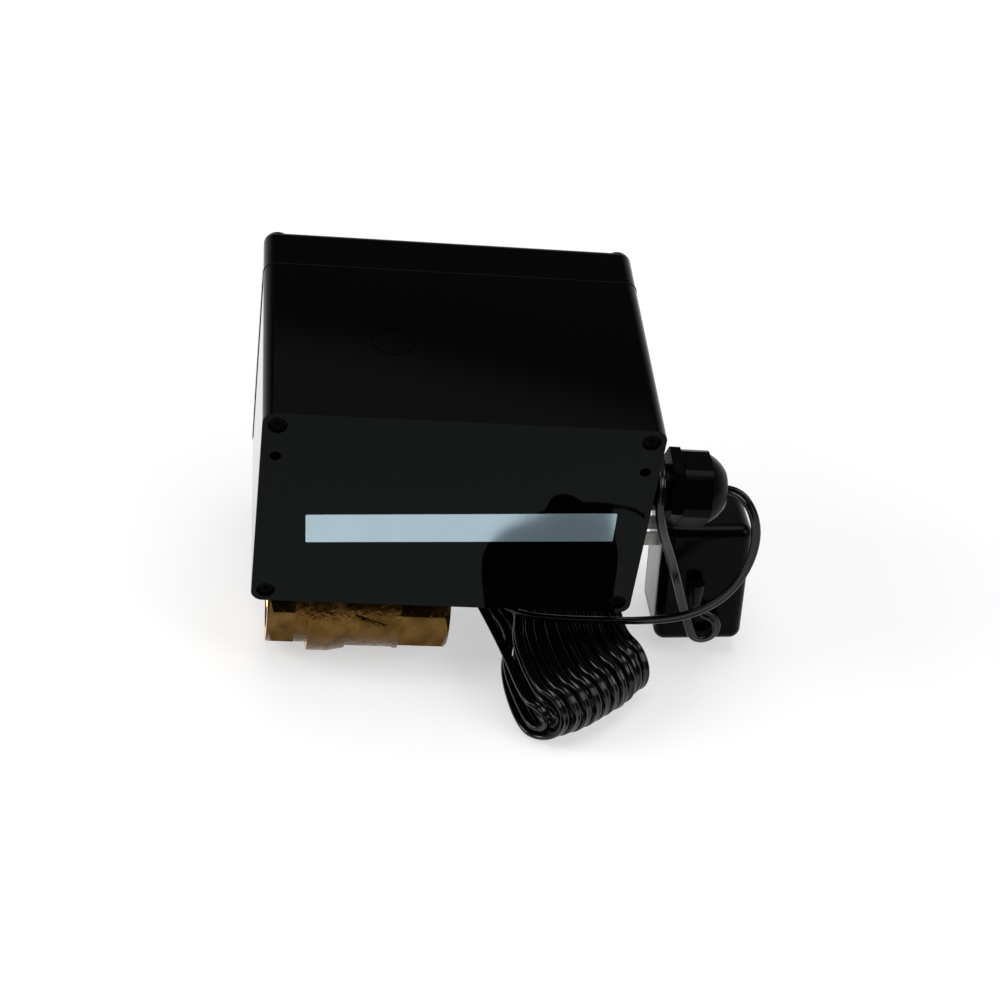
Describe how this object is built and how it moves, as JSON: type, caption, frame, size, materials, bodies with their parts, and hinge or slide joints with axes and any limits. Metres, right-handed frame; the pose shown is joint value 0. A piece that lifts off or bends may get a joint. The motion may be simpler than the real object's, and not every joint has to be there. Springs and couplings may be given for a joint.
{
  "type": "automatic flush valve",
  "caption": "Motorised brass ball valve turned by a gear train in a black timer housing, with setting knobs, a cable gland and a corded wall adapter.",
  "frame": {"origin": "centre of the inlet's mouth, on the valve's axis", "axes": "+X along the flow, towards the outlet; +Y from the housing's back to its front cover; +Z from the valve up to the housing"},
  "size_m": [0.2215, 0.1742, 0.1495],
  "materials": {
    "black_abs": "glossy moulded ABS",
    "knob_plastic": "matt moulded plastic",
    "button_red": "glossy plastic",
    "brass": "cast and machined brass",
    "ball_chrome": "plated and polished",
    "ptfe": "turned PTFE",
    "steel": "zinc-plated steel",
    "stainless": "turned stainless steel",
    "bronze": "sintered bronze",
    "gear_acetal": "moulded acetal",
    "board": "glass-fibre circuit board",
    "component": "moulded component cases",
    "relay_blue": "moulded relay case",
    "lamp": "tinted lamp",
    "nylon_black": "moulded nylon",
    "rubber_black": "moulded rubber",
    "cord_pvc": "flexible PVC cord",
    "blade": "plated brass",
    "core": "laminated iron",
    "copper_coil": "enamelled copper winding"
  },
  "bodies": {
    "assembly": {"valve_body": "brass", "valve_end_cap": "brass", "ball_seats": "ptfe", "stem_packing": "ptfe", "packing_nut": "brass", "bonnet_locknut": "brass", "cover_gasket": "rubber_black", "rear_housing": "black_abs", "front_cover": "black_abs", "housing_screws": "steel", "mounting_plate": "steel", "lower_plate": "steel", "upper_plate": "steel", "frame_legs": "steel", "frame_pillars": "steel", "shaft_bushes": "bronze", "idler_arbor": "stainless", "gearhead_case": "component", "motor_can": "steel", "limit_switches": "component", "circuit_board": "board", "board_standoffs": "stainless", "small_screws": "steel", "relay": "relay_blue", "terminal_block": "relay_blue", "potentiometers": "component", "test_switch": "component", "status_leds": "lamp", "gland_washer": "rubber_black", "gland_body": "nylon_black", "gland_locknut": "nylon_black", "gland_seal": "rubber_black", "button_spring": "stainless", "adapter_prong_shell": "black_abs", "adapter_blades": "blade", "adapter_relief": "cord_pvc", "adapter_main_shell": "black_abs", "transformer_core": "core", "transformer_coil": "copper_coil", "cord_hank": "cord_pvc", "cord_lead": "cord_pvc", "cord_adapter_lead": "cord_pvc", "inner_lead": "cord_pvc"},
    "valve_drive": {"ball": "ball_chrome", "valve_stem": "stainless", "stem_coupler": "stainless", "coupler_pin": "stainless", "drive_shaft": "stainless", "output_gear": "gear_acetal", "limit_cam": "gear_acetal"},
    "idler": {"idler_gear": "gear_acetal"},
    "pinion": {"motor_pinion": "stainless"},
    "closed_lever": {"closed_switch_lever": "stainless"},
    "open_lever": {"open_switch_lever": "stainless"},
    "interval_control": {"interval_spindle": "stainless", "interval_knob": "knob_plastic"},
    "duration_control": {"duration_spindle": "stainless", "duration_knob": "knob_plastic"},
    "test_control": {"test_button": "button_red"},
    "gland_nut": {"gland_dome_nut": "nylon_black"}
  },
  "joints": [
    {"name": "valve_turn", "type": "hinge", "parent": "assembly", "child": "valve_drive", "pos_m": [0.038, 0, 0], "axis": [0, 0, 1], "range_deg": [0, 90]},
    {"name": "idler_spin", "type": "hinge", "parent": "assembly", "child": "idler", "pos_m": [0.0661, 0, 0.084], "axis": [0, 0, 1], "range_deg": [-270, 0]},
    {"name": "motor_spin", "type": "hinge", "parent": "assembly", "child": "pinion", "pos_m": [0.0902, 0, 0.09], "axis": [0, 0, 1], "range_deg": [0, 810]},
    {"name": "closed_lever_swing", "type": "hinge", "parent": "assembly", "child": "closed_lever", "pos_m": [0.024, -0.0151, 0.105], "axis": [0, 0, 1], "range_deg": [0, 10]},
    {"name": "open_lever_swing", "type": "hinge", "parent": "assembly", "child": "open_lever", "pos_m": [0.024, 0.0151, 0.105], "axis": [0, 0, 1], "range_deg": [0, 10]},
    {"name": "interval_turn", "type": "hinge", "parent": "assembly", "child": "interval_control", "pos_m": [0.042, 0.09, 0.084], "axis": [0, 1, 0], "range_deg": [-135, 135]},
    {"name": "duration_turn", "type": "hinge", "parent": "assembly", "child": "duration_control", "pos_m": [0.102, 0.09, 0.084], "axis": [0, 1, 0], "range_deg": [-135, 135]},
    {"name": "test_press", "type": "slide", "parent": "assembly", "child": "test_control", "axis": [0, -1, 0], "range_m": [0, 0.0012], "stiffness_N_per_m": 800, "springref_m": -0.0008, "deforming": ["button_spring"]},
    {"name": "gland_nut_turn", "type": "hinge", "parent": "assembly", "child": "gland_nut", "pos_m": [0.175, -0.009, 0.078], "axis": [1, 0, 0], "range_deg": [0, 360]}
  ],
  "couplings": [
    {"joint": "idler_spin", "follows": "valve_turn", "ratio": -3},
    {"joint": "motor_spin", "follows": "valve_turn", "ratio": 9},
    {"joint": "closed_lever_swing", "follows": "valve_turn", "ratio": 0.11111},
    {"joint": "open_lever_swing", "follows": "valve_turn", "ratio": 0.11111}
  ]
}
